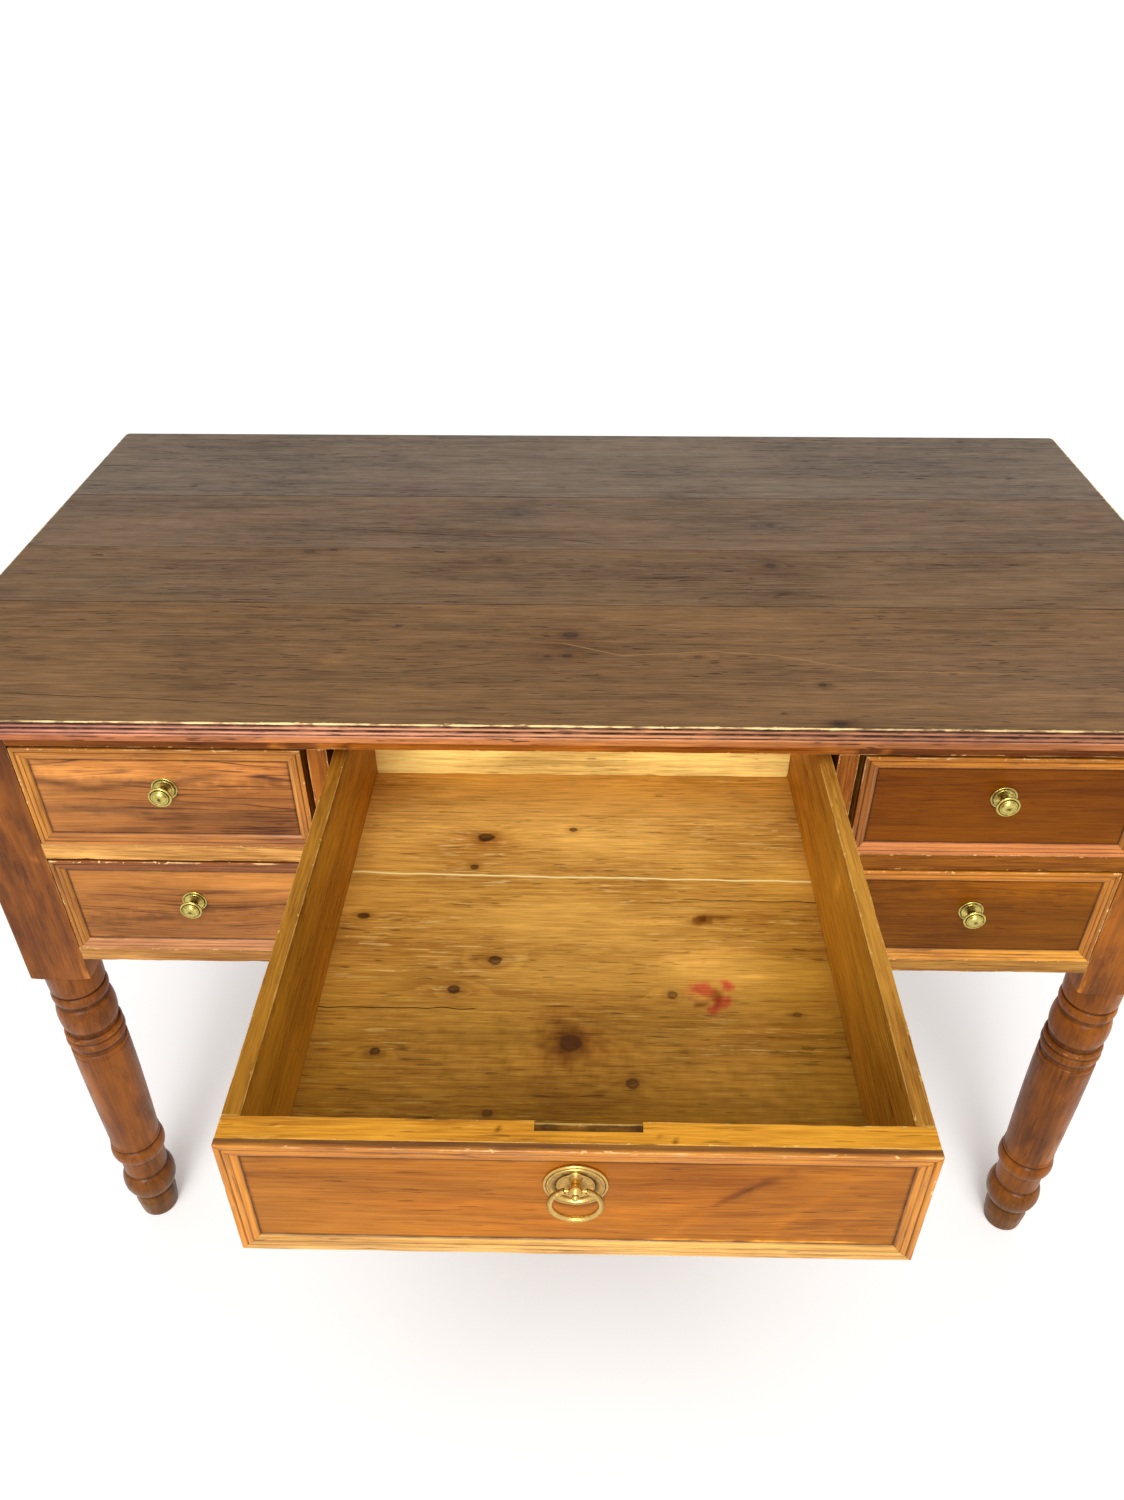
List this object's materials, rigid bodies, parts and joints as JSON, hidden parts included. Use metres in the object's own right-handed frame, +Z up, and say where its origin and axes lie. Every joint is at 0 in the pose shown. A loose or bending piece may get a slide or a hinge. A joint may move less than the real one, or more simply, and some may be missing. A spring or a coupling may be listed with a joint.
{
  "type": "writing desk",
  "caption": "Kneehole writing desk with turned legs, a reeded plank top, a wide drawer with a ring pull and two banks of small drawers with knobs.",
  "frame": {"origin": "on the floor, under the middle of the top", "axes": "+X to the sitter's right, +Y to the back of the desk, +Z up"},
  "size_m": [1.19, 1.0357, 0.782],
  "materials": {
    "walnut_top": "worn satin",
    "walnut_frame": "worn polish",
    "walnut_front": "worn polish",
    "pine": "bare, aged",
    "brass": "aged",
    "steel": "dull"
  },
  "bodies": {
    "carcass": {"top_back_board": "walnut_top", "top_second_board": "walnut_top", "top_third_board": "walnut_top", "top_front_board": "walnut_top", "front_left_leg": "walnut_frame", "front_right_leg": "walnut_frame", "back_left_leg": "walnut_frame", "back_right_leg": "walnut_frame", "top_front_rail": "walnut_frame", "left_middle_rail": "walnut_frame", "right_middle_rail": "walnut_frame", "left_bottom_rail": "walnut_frame", "right_bottom_rail": "walnut_frame", "left_post": "walnut_frame", "right_post": "walnut_frame", "centre_rail": "walnut_frame", "left_side_panel": "walnut_frame", "right_side_panel": "walnut_frame", "back_panel": "walnut_frame", "left_partition": "pine", "right_partition": "pine", "left_bank_runners": "pine", "right_bank_runners": "pine", "centre_runners": "pine", "drawer_kickers": "pine", "top_screws": "steel"},
    "centre_drawer": {"centre_drawer_panel": "walnut_front", "centre_drawer_mouldings": "walnut_front", "centre_drawer_front": "pine", "centre_drawer_left_side": "pine", "centre_drawer_right_side": "pine", "centre_drawer_back": "pine", "centre_drawer_bottom": "pine", "pull_plate": "brass", "pull_post": "brass"},
    "pull_ring": {"pull_ring": "brass"},
    "upper_left_drawer": {"upper_left_drawer_facing": "walnut_front", "upper_left_drawer_front": "pine", "upper_left_drawer_sides": "pine", "upper_left_drawer_back": "pine", "upper_left_drawer_bottom": "pine", "upper_left_knob": "brass"},
    "upper_right_drawer": {"upper_right_drawer_facing": "walnut_front", "upper_right_drawer_front": "pine", "upper_right_drawer_sides": "pine", "upper_right_drawer_back": "pine", "upper_right_drawer_bottom": "pine", "upper_right_knob": "brass"},
    "lower_left_drawer": {"lower_left_drawer_facing": "walnut_front", "lower_left_drawer_front": "pine", "lower_left_drawer_sides": "pine", "lower_left_drawer_back": "pine", "lower_left_drawer_bottom": "pine", "lower_left_knob": "brass"},
    "lower_right_drawer": {"lower_right_drawer_facing": "walnut_front", "lower_right_drawer_front": "pine", "lower_right_drawer_sides": "pine", "lower_right_drawer_back": "pine", "lower_right_drawer_bottom": "pine", "lower_right_knob": "brass"}
  },
  "joints": [
    {"name": "centre_drawer_slide", "type": "slide", "parent": "carcass", "child": "centre_drawer", "axis": [0, -1, 0], "range_m": [-0.39, 0.04]},
    {"name": "pull_ring_hinge", "type": "hinge", "parent": "centre_drawer", "child": "pull_ring", "pos_m": [0, -0.704, 0.7124], "axis": [-1, 0, 0], "range_deg": [0, 110]},
    {"name": "upper_left_drawer_slide", "type": "slide", "parent": "carcass", "child": "upper_left_drawer", "axis": [0, -1, 0], "range_m": [0, 0.38]},
    {"name": "upper_right_drawer_slide", "type": "slide", "parent": "carcass", "child": "upper_right_drawer", "axis": [0, -1, 0], "range_m": [0, 0.38]},
    {"name": "lower_left_drawer_slide", "type": "slide", "parent": "carcass", "child": "lower_left_drawer", "axis": [0, -1, 0], "range_m": [0, 0.38]},
    {"name": "lower_right_drawer_slide", "type": "slide", "parent": "carcass", "child": "lower_right_drawer", "axis": [0, -1, 0], "range_m": [0, 0.38]}
  ]
}
